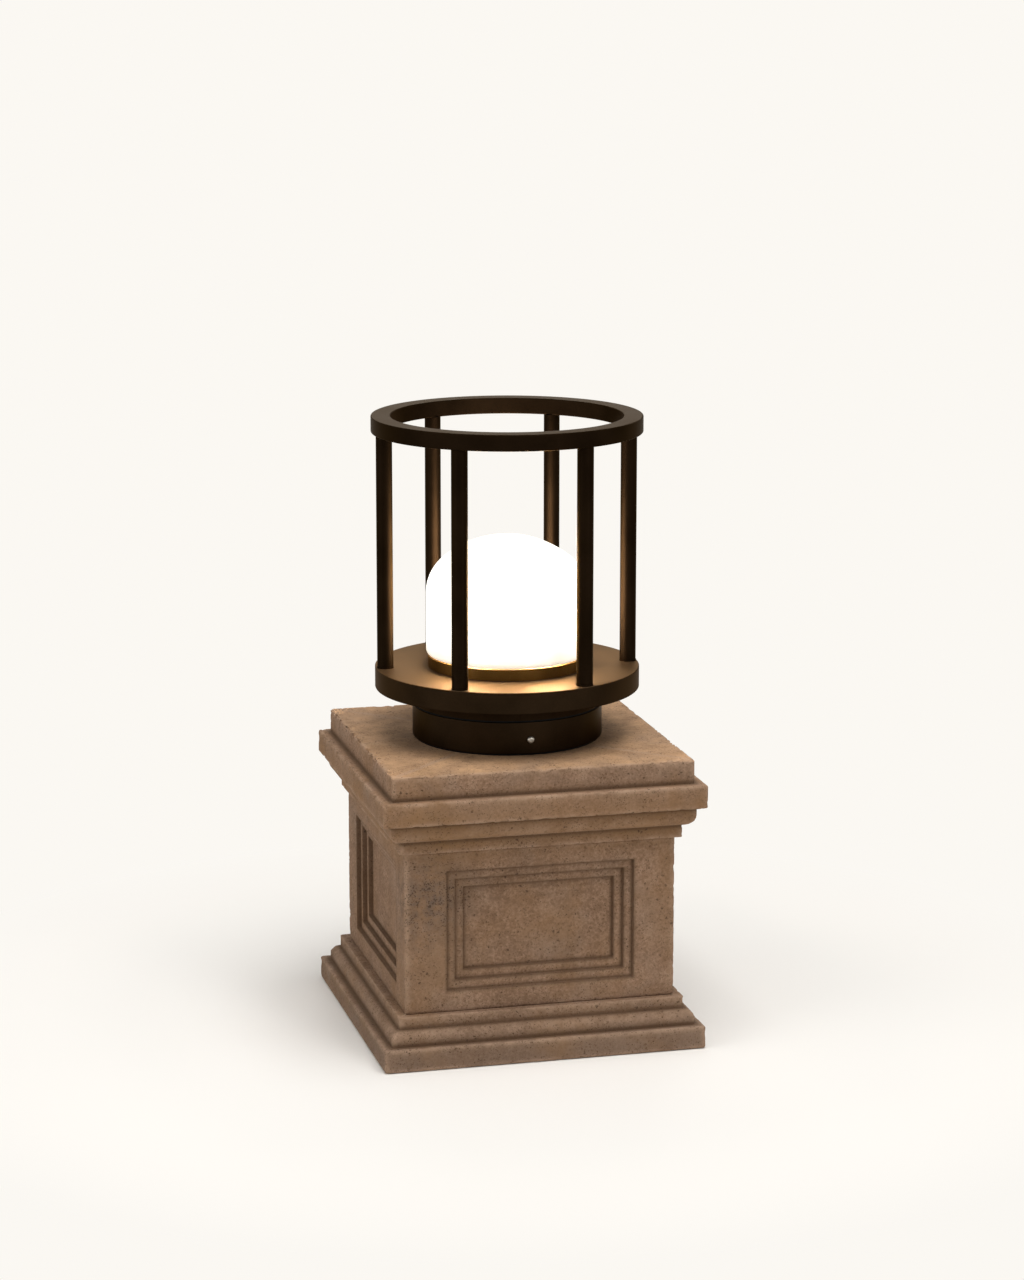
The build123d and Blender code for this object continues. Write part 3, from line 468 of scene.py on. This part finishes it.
def smooth(piece):
    """Smooth shading that breaks at real edges and leaves flat faces flat."""
    piece.data.shade_smooth()
    piece.data.set_sharp_from_angle(angle=metal_sharp)
    level = piece.modifiers.new("level flats", "WEIGHTED_NORMAL")
    level.keep_sharp = True
    evaluated(piece)


def dressed(node, material, body):
    """A CAD node's own shape with its triangles joined, smooth shading and a finish."""
    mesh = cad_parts[node].data.copy()
    mesh.materials.clear()
    shape = bmesh.new()
    shape.from_mesh(mesh)
    bmesh.ops.remove_doubles(shape, verts=shape.verts, dist=same_point)
    shape.to_mesh(mesh)
    shape.free()
    piece = bpy.data.objects.new(node + "_finished", mesh)
    bpy.context.scene.collection.objects.link(piece)
    smooth(piece)
    piece.data.materials.append(material)
    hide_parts(node)
    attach(piece, body)
    return piece


bronze = dark_bronze("dark_bronze", 0.40)
dressed("base_cup", bronze, "pillar")


# Soft rings and the cable seal: black rubber, cut from sheet or moulded, squeezed between hard faces.
# The one in the seam stands back from both faces, so that it reads as a dark line.
def plain_finish(name, colour, roughness, grain=300.0, depth=0.00005, **constants):
    """A finish with a fine even grain, for small pieces of one material."""
    finish = Finish(name, **constants)
    cloud = finish.noise(40.0, 3.0)
    fine = finish.noise(grain, 3.0, 0.6)
    share = cloud * 0.6 + fine * 0.4
    dark = tuple(0.72 * part for part in colour) + (1,)
    pale = tuple(min(1.0, 1.22 * part) for part in colour) + (1,)
    return finish.drive(Base_Color=finish.colours(share, (0.35, dark), (0.65, pale)),
                        Roughness=roughness - 0.06 + share * 0.12, Normal=finish.bump(fine, depth, 0.6))


def finish_nodes(material, *nodes):
    """Give CAD nodes whose own shape is right a finish."""
    for node in nodes:
        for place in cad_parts[node].material_slots:
            place.material = material


rubber = plain_finish("black_rubber", (0.008, 0.008, 0.008), 0.80, Specular_IOR_Level=0.08)
finish_nodes(rubber, "base_gasket", "gland_seal", "seam_gasket", "glass_gasket")


# Clamp screws: three stainless screws with domed heads and hexagon sockets, tapped into the cup's wall.
# Their tips bear on the head's spigot and hold the head down.
screw_reach = 0.0883
screw_height = 0.2847
stainless = plain_finish("stainless", (0.44, 0.41, 0.36), 0.44, 700.0, 0.00002, Metallic=1.0)


def sized_tree(name, sizes):
    """A node tree with a named input for each size, and those inputs as values."""
    tree = bpy.data.node_groups.new(name, "GeometryNodeTree")
    tree.interface.new_socket("Geometry", in_out="OUTPUT", socket_type="NodeSocketGeometry")
    for size, kind in sizes:
        tree.interface.new_socket(size, in_out="INPUT", socket_type="NodeSocket" + kind)
    given = tree.nodes.new("NodeGroupInput")
    return tree, {socket.name: Value(tree, socket) for socket in given.outputs if socket.name}


def turning_grid(tree, sides, steps, rows):
    """A flat grid to wrap round an axis, with each point's angle and its place along the steps."""
    grid = Value.node(tree, "GeometryNodeMeshGrid", None, {
        "Size X": 1.0, "Size Y": 1.0, "Vertices X": sides + 1, "Vertices Y": steps * rows + 1})
    place = Value.node(tree, "GeometryNodeInputPosition")
    angle = (Value.node(tree, "ShaderNodeSeparateXYZ", None, {0: place}, 0) + 0.5) * (2 * math.pi)
    along = (Value.node(tree, "ShaderNodeSeparateXYZ", None, {0: place}, 1) + 0.5) * steps
    return grid, angle, along


def turned_skin(tree, grid, angle, radius, height, seam):
    """The grid wrapped to a radius and a height at each point, with its seam and poles joined."""
    spot = Value.node(tree, "ShaderNodeCombineXYZ", None, {
        0: radius * angle.math("COSINE", angle), 1: radius * angle.math("SINE", angle), 2: height})
    skin = Value.node(tree, "GeometryNodeSetPosition", None, {"Geometry": grid, "Position": spot})
    return Value.node(tree, "GeometryNodeMergeByDistance", None, {"Geometry": skin, "Distance": seam})


def ended_tree(tree, shape, material):
    """A tree's end: real geometry with its material."""
    whole = Value.node(tree, "GeometryNodeRealizeInstances", None, {"Geometry": shape})
    done = Value.node(tree, "GeometryNodeSetMaterial", None, {"Geometry": whole, "Material": material})
    out = tree.nodes.new("NodeGroupOutput")
    tree.links.new(done.socket, out.inputs["Geometry"])
    return tree


def clamp_screw_tree():
    """A screw by rule: a turned profile whose socket rows follow a hexagon."""
    tree, size = sized_tree("clamp screw", (
        ("Shank radius", "Float"), ("Shank length", "Float"), ("Head radius", "Float"),
        ("Head height", "Float"), ("Socket radius", "Float"), ("Socket depth", "Float"),
        ("Seat", "Vector"), ("Turn", "Vector"), ("Material", "Material")))
    steps = 6
    grid, angle, along = turning_grid(tree, sides=48, steps=steps, rows=8)
    tip, shank, seat, dome, wall, floor = ((along - step).ramp(0.0, 1.0) for step in range(steps))
    quarter = dome * (math.pi / 2)
    reach = size["Head radius"] - size["Socket radius"]
    radius = (size["Shank radius"] * tip + (size["Head radius"] - size["Shank radius"]) * seat
              - reach * (1 - quarter.math("COSINE", quarter))) * (1 - floor)
    sector = angle.math("MODULO", angle, math.pi / 3) - math.pi / 6
    flat = math.cos(math.pi / 6) / sector.math("COSINE", sector)
    socket = dome > 0.999
    radius = radius * (1 + (flat - 1) * socket)
    height = (size["Shank length"] * (shank - 1) + size["Head height"] * quarter.math("SINE", quarter)
              - size["Socket depth"] * wall)
    screw = turned_skin(tree, grid, angle, radius, height, seam=same_point)
    stood = Value.node(tree, "GeometryNodeTransform", None, {
        "Geometry": screw, "Translation": size["Seat"], "Rotation": size["Turn"]})
    return ended_tree(tree, stood, size["Material"])


def grown(name, tree, **sizes):
    """A piece made by a node tree, as one plain mesh with its faces outward."""
    piece = bpy.data.objects.new(name, bpy.data.meshes.new(name))
    bpy.context.scene.collection.objects.link(piece)
    modifier = piece.modifiers.new(name, "NODES")
    modifier.node_group = tree
    for item in tree.interface.items_tree:
        if item.in_out == "INPUT":
            modifier[item.identifier] = sizes[item.name.replace(" ", "_").lower()]
    evaluated(piece)
    shape = bmesh.new()
    shape.from_mesh(piece.data)
    bmesh.ops.recalc_face_normals(shape, faces=shape.faces)
    shape.to_mesh(piece.data)
    shape.free()
    smooth(piece)
    return piece


screw_tree = clamp_screw_tree()
for side, degrees in (("front", -90), ("right", 30), ("left", 150)):
    turn = math.radians(degrees)
    screw = grown("clamp_screw_" + side + "_turned", screw_tree, shank_radius=0.002, shank_length=0.0043,
                  head_radius=0.0033, head_height=0.0022, socket_radius=0.00145, socket_depth=0.0013,
                  seat=(screw_reach * math.cos(turn), screw_reach * math.sin(turn), screw_height),
                  turn=(0.0, math.pi / 2, turn), material=stainless)
    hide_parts("clamp_screw_" + side)
    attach(screw, "clamp_" + side)


# Anchors and gland inside the cup: zinc-plated studs bonded into the stone, with washers and nuts, a
# black nylon gland through the floor, and a brass earth screw on its boss.
zinc = plain_finish("zinc_steel", (0.46, 0.47, 0.48), 0.38, 500.0, 0.00003, Metallic=1.0)
nylon = plain_finish("gland_nylon", (0.018, 0.018, 0.018), 0.55)
brass = plain_finish("brass", (0.62, 0.43, 0.17), 0.33, 500.0, 0.00002, Metallic=1.0)
finish_nodes(zinc, "anchor_studs", "anchor_washers", "anchor_nuts")
finish_nodes(nylon, "cable_gland", "gland_nut", "gland_locknut")
finish_nodes(brass, "cup_earth_screw")


# Deck: one die casting in the same bronze, a flat plate with a deep rim. Its collar stands on the cup,
# and ribs and bosses stiffen it underneath. On top the coat is painted a brighter, browner copy that
# mirrors the glass more strongly: a painted lamplit sheen.
lit_top_dark = (0.042, 0.026, 0.0140, 1)
lit_top_warm = (0.068, 0.042, 0.0225, 1)
deck_edge = (0.70, 0.60, 0.52, 1)
deck_top = 0.3365
lit_top_level = deck_top - 0.0001
deck_bronze = dark_bronze("deck_bronze", 0.54, edge=deck_edge, lit_top=(lit_top_level, lit_top_dark, lit_top_warm))
dressed("lamp_deck", deck_bronze, "head")


# Cage bars: six solid round bars, each on a thin foot, screwed up through the deck. They and the ring
# have the bronze coat painted darker than the rest, as painted shade.
cage_shade_dark = (0.0066, 0.0037, 0.0018, 1)
cage_shade_warm = (0.0120, 0.0068, 0.0034, 1)
bar_count = 6
bar_sides = 64
cage_bronze = dark_bronze("cage_bronze", 0.50, cage_shade_dark, cage_shade_warm)


def cage_bar_tree():
    """The bars by rule: a rod and its foot at each point of a circle on the deck."""
    tree, size = sized_tree("cage bars", (
        ("Count", "Int"), ("Circle radius", "Float"), ("Turn", "Vector"), ("Deck top", "Vector"),
        ("Bar radius", "Float"), ("Bar length", "Float"), ("Foot radius", "Float"),
        ("Foot height", "Float"), ("Material", "Material")))

    def upright(radius, length):
        rod = Value.node(tree, "GeometryNodeMeshCylinder", None, {
            "Vertices": bar_sides, "Radius": radius, "Depth": length})
        lift = Value.node(tree, "ShaderNodeCombineXYZ", None, {2: length * 0.5})
        return Value.node(tree, "GeometryNodeTransform", None, {"Geometry": rod, "Translation": lift})

    rod = upright(size["Bar radius"], size["Bar length"])
    foot = upright(size["Foot radius"], size["Foot height"])
    bar = Value.node(tree, "GeometryNodeJoinGeometry", None, {"Geometry": [rod, foot]})
    circle = Value.node(tree, "GeometryNodeMeshCircle", None, {
        "Vertices": size["Count"], "Radius": size["Circle radius"]})
    spots = Value.node(tree, "GeometryNodeTransform", None, {
        "Geometry": circle, "Rotation": size["Turn"], "Translation": size["Deck top"]})
    bars = Value.node(tree, "GeometryNodeInstanceOnPoints", None, {"Points": spots, "Instance": bar})
    return ended_tree(tree, bars, size["Material"])


bars = grown("cage_bars", cage_bar_tree(), count=bar_count, circle_radius=0.1135,
             turn=(0, 0, math.radians(-6.0)), deck_top=(0, 0, deck_top), bar_radius=0.0075,
             bar_length=0.2185, foot_radius=0.0079, foot_height=0.0012, material=cage_bronze)
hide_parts(*["cage_bar_%d" % number for number in range(1, bar_count + 1)])
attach(bars, "head")


# Top ring: a flat hoop rolled from rectangular bar, with eased edges and the same coat. The bars' tenons
# enter it from below, and it holds their tops at even spaces.
dressed("cage_ring", cage_bronze, "head")


# Gallery: a low turned ring screwed down on the deck, which the glass neck turns into.
# Its coat is painted a much brighter, browner copy of the bronze: a painted lamplit sheen.
gallery_lit_dark = (0.104, 0.052, 0.012, 1)
gallery_lit_warm = (0.160, 0.080, 0.020, 1)
gallery_bronze = dark_bronze("gallery_bronze", 0.42, gallery_lit_dark, gallery_lit_warm)
dressed("glass_gallery", gallery_bronze, "head")


# Screws under the deck: zinc-plated socket screws that hold the bars, the gallery and the strap.
# The strap itself is bent from plated strip and carries the lampholder.
finish_nodes(zinc, "bar_screws", "gallery_screws", "holder_strap", "strap_screws", "holder_screws",
             "block_screw")


# Lampholder and wiring: a glazed ceramic pot with a brass shell and contact, a moulded terminal block
# with brass ways, and three insulated leads. The earth lead ends in a ring tag on its brass screw.
finish_nodes(plain_finish("holder_ceramic", (0.82, 0.80, 0.76), 0.22, 200.0, 0.00002), "lampholder")
finish_nodes(plain_finish("terminal_plastic", (0.70, 0.67, 0.58), 0.42), "terminal_block")
finish_nodes(brass, "holder_shell", "holder_contact", "terminal_inserts", "terminal_screws", "earth_tag",
             "deck_earth_screw")
finish_nodes(plain_finish("lead_brown", (0.10, 0.035, 0.012), 0.45), "lead_live")
finish_nodes(plain_finish("lead_blue", (0.010, 0.045, 0.30), 0.45), "lead_neutral")
finish_nodes(plain_finish("lead_green", (0.06, 0.26, 0.016), 0.45), "lead_earth")


# Lamp: a screw-cap lamp with a brass cap, a white plastic body and a frosted globe, lit. It screws into
# the holder's shell and stands upright in the middle of the glass.
finish_nodes(brass, "lamp_cap")
finish_nodes(plain_finish("lamp_white", (0.80, 0.80, 0.78), 0.5), "lamp_body")
finish_nodes(plain_finish("lamp_diffuser", (0.80, 0.77, 0.70), 0.4, 300.0, 0.00003,
                          Emission_Color=(1.0, 0.78, 0.50, 1), Emission_Strength=3.0), "lamp_globe")


# Glass dome: blown opal glass with a satin skin, lit from inside by the lamp, whose warm light passes
# through it. A narrow neck under the rounded shoulder turns into the gallery and stands on a soft ring.
glass_wall = 0.0035
opal_dark = (0.74, 0.70, 0.62, 1)
opal_pale = (0.80, 0.77, 0.71, 1)
glow_dim = (0.50, 0.43, 0.32, 1)
glow_mid = (0.70, 0.65, 0.55, 1)
glow_full = (1.0, 0.98, 0.93, 1)
glow_level = 1.1
foot_glow = (0.338, 0.372)
crown_glow = (0.405, 0.460)
crown_dimming = 0.60
lamp_colour = (1.0, 0.87, 0.72)
lamp_power = 11.0
lamp_reach = 0.068
lamp_height = 0.392


def dome_tree():
    """The dome by rule: neck, flat shoulder, round turn, straight side, round crown and a flatter cap."""
    tree, size = sized_tree("glass dome", (
        ("Neck radius", "Float"), ("Neck length", "Float"), ("Neck bottom", "Float"), ("Radius", "Float"),
        ("Shoulder", "Float"), ("Side", "Float"), ("Crown", "Float"), ("Crown turn", "Float"),
        ("Material", "Material")))
    steps = 6
    grid, angle, along = turning_grid(tree, sides=160, steps=steps, rows=16)
    neck, flat, bend, side, crown, cap = ((along - step).ramp(0.0, 1.0) for step in range(steps))
    inner = size["Radius"] - size["Crown turn"]
    gap = size["Crown"] - size["Crown turn"]
    drop = (inner * inner - gap * gap) / (2 * gap)
    meet = drop.math("ARCTAN2", drop, inner)
    turn = bend * (math.pi / 2)
    rise = crown * meet
    top = meet + cap * (math.pi / 2 - meet)
    reach = size["Radius"] - size["Shoulder"] - size["Neck radius"]
    lower = (size["Neck radius"] + reach * flat + size["Shoulder"] * turn.math("SINE", turn)
             - size["Crown turn"] * (1 - rise.math("COSINE", rise)))
    upper = (size["Crown"] + drop) * top.math("COSINE", top)
    capped = along > steps - 0.9999
    radius = lower * (1 - capped) + upper * capped
    foot = (size["Neck bottom"] + size["Neck length"] * neck
            + size["Shoulder"] * (1 - turn.math("COSINE", turn)) + size["Side"] * side)
    height = (foot + size["Crown turn"] * rise.math("SINE", rise) * (1 - capped)
              + ((size["Crown"] + drop) * top.math("SINE", top) - drop) * capped)
    skin = turned_skin(tree, grid, angle, radius, height, seam=1e-5)
    return ended_tree(tree, skin, size["Material"])


def opal_glass():
    """Milky glass that glows: brightest along its side, dimmer at the foot and on the crown."""
    glass = Finish("opal_glass", Emission_Strength=glow_level, Specular_IOR_Level=0.3)
    height = glass.height()
    cloud = glass.noise(30.0, 2.0)
    glow = height.ramp(*foot_glow) * (1 - height.ramp(*crown_glow) * crown_dimming) + (cloud - 0.5) * 0.04
    colour = glass.colours(glow, (0.0, glow_dim), (0.5, glow_mid), (1.0, glow_full))
    skin = glass.colours(cloud, (0.35, opal_dark), (0.65, opal_pale))
    return glass.drive(Base_Color=skin, Emission_Color=colour, Roughness=0.24 + cloud * 0.12)


dome = grown("glass_dome_blown", dome_tree(), neck_radius=0.0665, neck_length=0.0083, neck_bottom=0.3385,
             radius=0.075, shoulder=0.005, side=0.052, crown=0.054, crown_turn=0.042, material=opal_glass())
wall = dome.modifiers.new("glass wall", "SOLIDIFY")
wall.thickness = glass_wall
wall.offset = -1.0
evaluated(dome)
smooth(dome)
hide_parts("glass_dome")
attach(dome, "dome")
dome.visible_shadow = False
shine = bpy.data.lights.new("lamplight", "POINT")
shine.energy = lamp_power
shine.color = lamp_colour
shine.shadow_soft_size = lamp_reach
shine.cycles.use_multiple_importance_sampling = False
lamplight = bpy.data.objects.new("lamplight", shine)
lamplight.location.z = lamp_height
lamplight.visible_camera = False
bpy.context.scene.collection.objects.link(lamplight)
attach(lamplight, "dome")


# Studio: a pale floor that runs out to an even pale surround, which metal and glass show as the camera
# sees it. Large soft lights stand overhead, at the left and behind, and a smaller one in front.
surround = (0.965, 0.938, 0.892, 1)
floor_paper = (0.860, 0.835, 0.795, 1)
surround_level = 0.20
shown_to = ("Camera", "Glossy", "Transmission")
shadow_fade = (0.22, 0.62)
floor_radius = 60.0
floor_drop = 0.0004


def showing(tree):
    """1 for the rays that show the pale surround, and 0 for those that carry its light."""
    rays = [Value.node(tree, "ShaderNodeLightPath", output="Is %s Ray" % ray) for ray in shown_to]
    return sum(rays).ramp(0.0, 1.0)


floor_shape = bmesh.new()
bmesh.ops.create_circle(floor_shape, cap_ends=True, segments=96, radius=floor_radius)
floor_mesh = bpy.data.meshes.new("floor")
floor_shape.to_mesh(floor_mesh)
floor_shape.free()
floor = bpy.data.objects.new("floor", floor_mesh)
floor.location.z = -floor_drop
bpy.context.scene.collection.objects.link(floor)
paper = Finish("pale_floor", Roughness=0.95, Specular_IOR_Level=0.0, Base_Color=floor_paper)
away = paper.node("ShaderNodeVectorMath", {"operation": "LENGTH"}, {0: paper.place}, 1)
pale = paper.node("ShaderNodeEmission", None, {"Color": surround, "Strength": 1.0})
share = showing(paper.tree) * away.ramp(*shadow_fade)
lit = Value(paper.tree, paper.surface.outputs[0])
blend = paper.node("ShaderNodeMixShader", None, {0: share, 1: lit, 2: pale})
paper.tree.links.new(blend.socket, paper.tree.nodes["Material Output"].inputs["Surface"])
floor_mesh.materials.append(paper.material)

world = bpy.data.worlds.new("studio")
world.use_nodes = True
bpy.context.scene.world = world
sky = world.node_tree
backdrop = sky.nodes["Background"]
backdrop.inputs["Color"].default_value = surround
level = surround_level + showing(sky) * (1 - surround_level)
sky.links.new(level.socket, backdrop.inputs["Strength"])


def softbox(name, place, aim, size, power):
    """A square soft light at a place, turned to what it lights."""
    light = bpy.data.lights.new(name, "AREA")
    light.shape = "SQUARE"
    light.size = size
    light.energy = power
    lamp = bpy.data.objects.new(name, light)
    lamp.location = place
    lamp.rotation_euler = (Vector(aim) - Vector(place)).to_track_quat("-Z", "Y").to_euler()
    bpy.context.scene.collection.objects.link(lamp)


softbox("overhead", (0.15, -0.7, 2.6), (0, 0, 0.2), 1.8, 60.0)
softbox("left", (-2.4, -0.6, 1.3), (0, 0, 0.2), 1.8, 23.0)
softbox("back", (0.5, 2.6, 1.9), (0, 0, 0.3), 1.7, 18.0)
softbox("front", (1.4, -3.3, 1.5), (0, 0, 0.2), 0.9, 24.0)


# Camera: a long lens a little to the left of the front and above the lamp, as the photograph was taken.
camera_data = bpy.data.cameras.new("camera")
camera_data.lens = 98.36
camera_data.sensor_width = 36.0
camera_data.shift_x = 0.0038
camera_data.shift_y = -0.0548
camera = bpy.data.objects.new("camera", camera_data)
camera.location = (-0.7733, -3.0745, 1.0373)
camera.rotation_euler = (math.radians(90 - 10.93), 0.0, math.radians(-14.12))
bpy.context.scene.collection.objects.link(camera)
bpy.context.scene.camera = camera
bpy.context.scene.view_settings.view_transform = "Standard"
